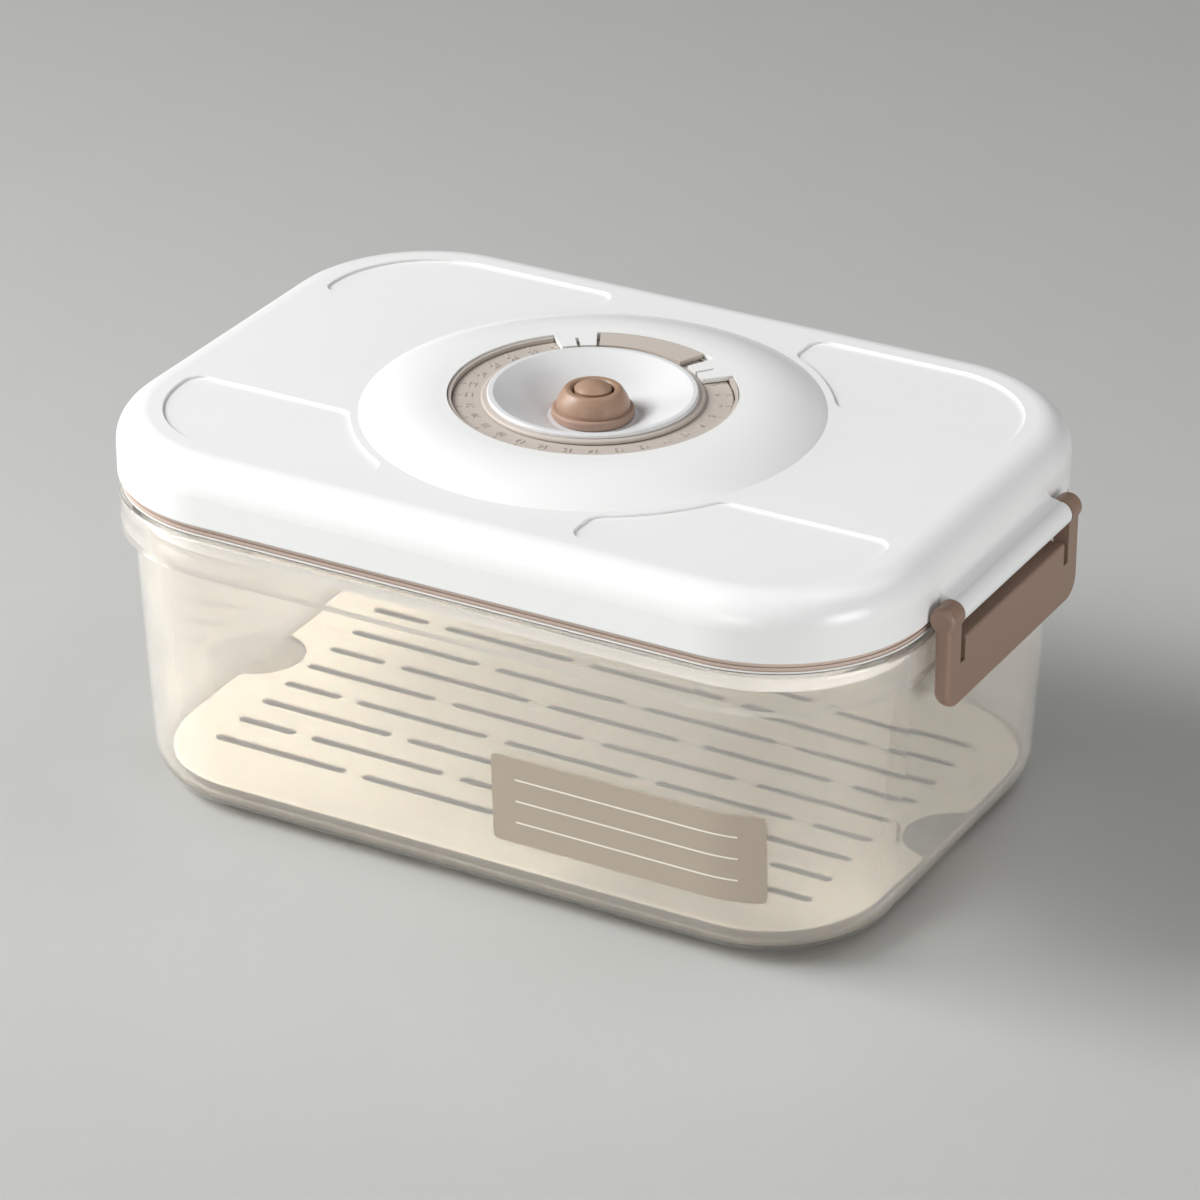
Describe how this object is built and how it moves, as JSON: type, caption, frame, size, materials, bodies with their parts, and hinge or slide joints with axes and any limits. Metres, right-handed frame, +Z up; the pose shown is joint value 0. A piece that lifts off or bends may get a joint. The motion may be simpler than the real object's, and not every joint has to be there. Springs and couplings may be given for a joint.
{
  "type": "vacuum seal canister",
  "caption": "Rounded rectangular food canister: clear tub with a slotted drain tray, and a white lid with end latches, a date dial and a pump bowl with a release valve.",
  "frame": {"origin": "middle of the tub's base, on the table", "axes": "+X along the length to the right-hand latch, +Y to the back, +Z up"},
  "size_m": [0.2872, 0.188, 0.1336],
  "materials": {
    "tub_clear": "clear, gloss",
    "tray_frosted": "frosted",
    "lid_white": "gloss",
    "gasket_silicone": "satin",
    "latch_brown": "satin",
    "dial_taupe": "satin",
    "valve_silicone": "satin",
    "valve_tan": "satin",
    "spring_steel": "bright"
  },
  "bodies": {
    "tub": {"tub": "tub_clear"},
    "tray": {"drain_tray": "tray_frosted"},
    "lid": {"lid_cover": "lid_white", "lid_panel": "lid_white", "lid_gasket": "gasket_silicone", "dial_well": "dial_taupe", "retaining_ring": "dial_taupe", "dial_bridge": "dial_taupe", "valve_flap": "valve_silicone", "valve_collar": "valve_tan", "button_spring": "spring_steel"},
    "latch_left": {"latch_left": "latch_brown"},
    "latch_right": {"latch_right": "latch_brown"},
    "date_ring": {"date_ring": "dial_taupe"},
    "button": {"release_button": "valve_tan", "valve_seal": "valve_silicone", "seal_clip": "lid_white"}
  },
  "joints": [
    {"name": "lid_lift", "type": "slide", "parent": "tub", "child": "lid", "axis": [0, 0, 1], "range_m": [0, 0.12]},
    {"name": "tray_lift", "type": "slide", "parent": "tub", "child": "tray", "axis": [0, 0, 1], "range_m": [0, 0.075]},
    {"name": "latch_right_swing", "type": "hinge", "parent": "lid", "child": "latch_right", "pos_m": [0.1395, 0, 0.1064], "axis": [0, -1, 0], "range_deg": [0, 115]},
    {"name": "latch_left_swing", "type": "hinge", "parent": "lid", "child": "latch_left", "pos_m": [-0.1395, 0, 0.1064], "axis": [0, 1, 0], "range_deg": [0, 115]},
    {"name": "date_ring_turn", "type": "hinge", "parent": "lid", "child": "date_ring", "pos_m": [0, 0, 0.1259], "axis": [0, 0, 1], "continuous": true},
    {"name": "release_press", "type": "slide", "parent": "lid", "child": "button", "axis": [0, 0, -1], "range_m": [0, 0.0015], "stiffness_N_per_m": 80, "springref_m": -0.004, "deforming": ["button_spring"]}
  ]
}
